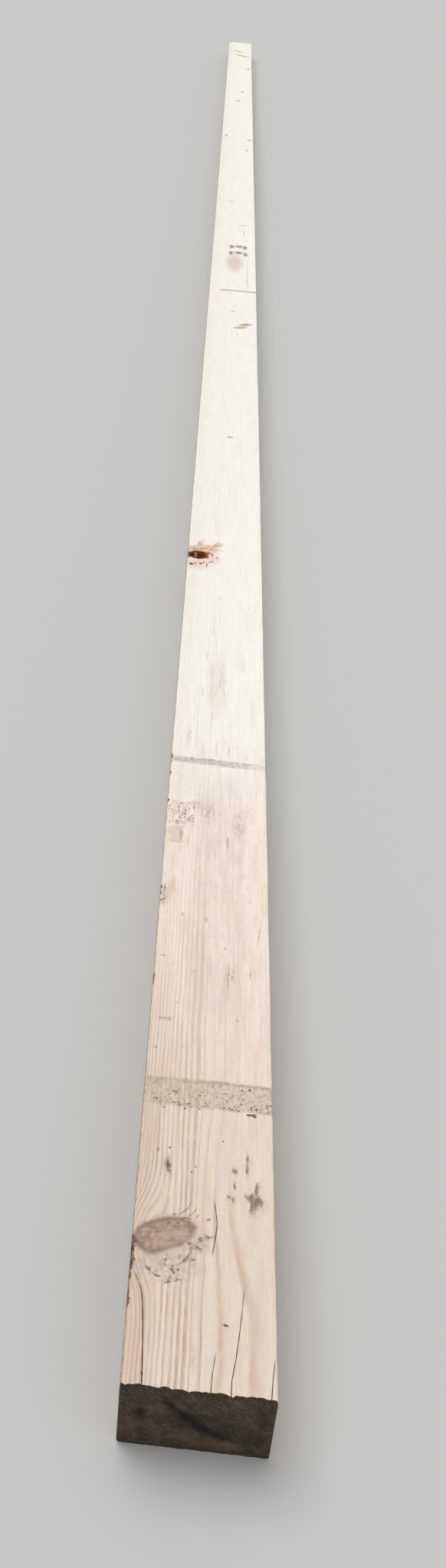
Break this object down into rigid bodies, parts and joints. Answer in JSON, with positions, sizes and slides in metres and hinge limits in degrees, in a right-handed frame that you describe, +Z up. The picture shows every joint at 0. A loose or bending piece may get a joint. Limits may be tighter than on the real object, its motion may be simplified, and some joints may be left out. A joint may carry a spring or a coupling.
{
  "type": "sawn timber plank",
  "caption": "Long straight sawn softwood plank of rectangular section, with sharp arrises, drying splits at one end and an open dead knot at one arris.",
  "frame": {"origin": "on the floor, under the middle of the plank's length and width", "axes": "+Y along the length, from the skewed, split end to the square end; +X across the width, to the right when looking along +Y; +Z up through the thickness"},
  "size_m": [0.075, 5.1, 0.047],
  "materials": {
    "timber": "rough sawn, unplaned, dry"
  },
  "bodies": {
    "root": {"plank": "timber"}
  },
  "joints": []
}
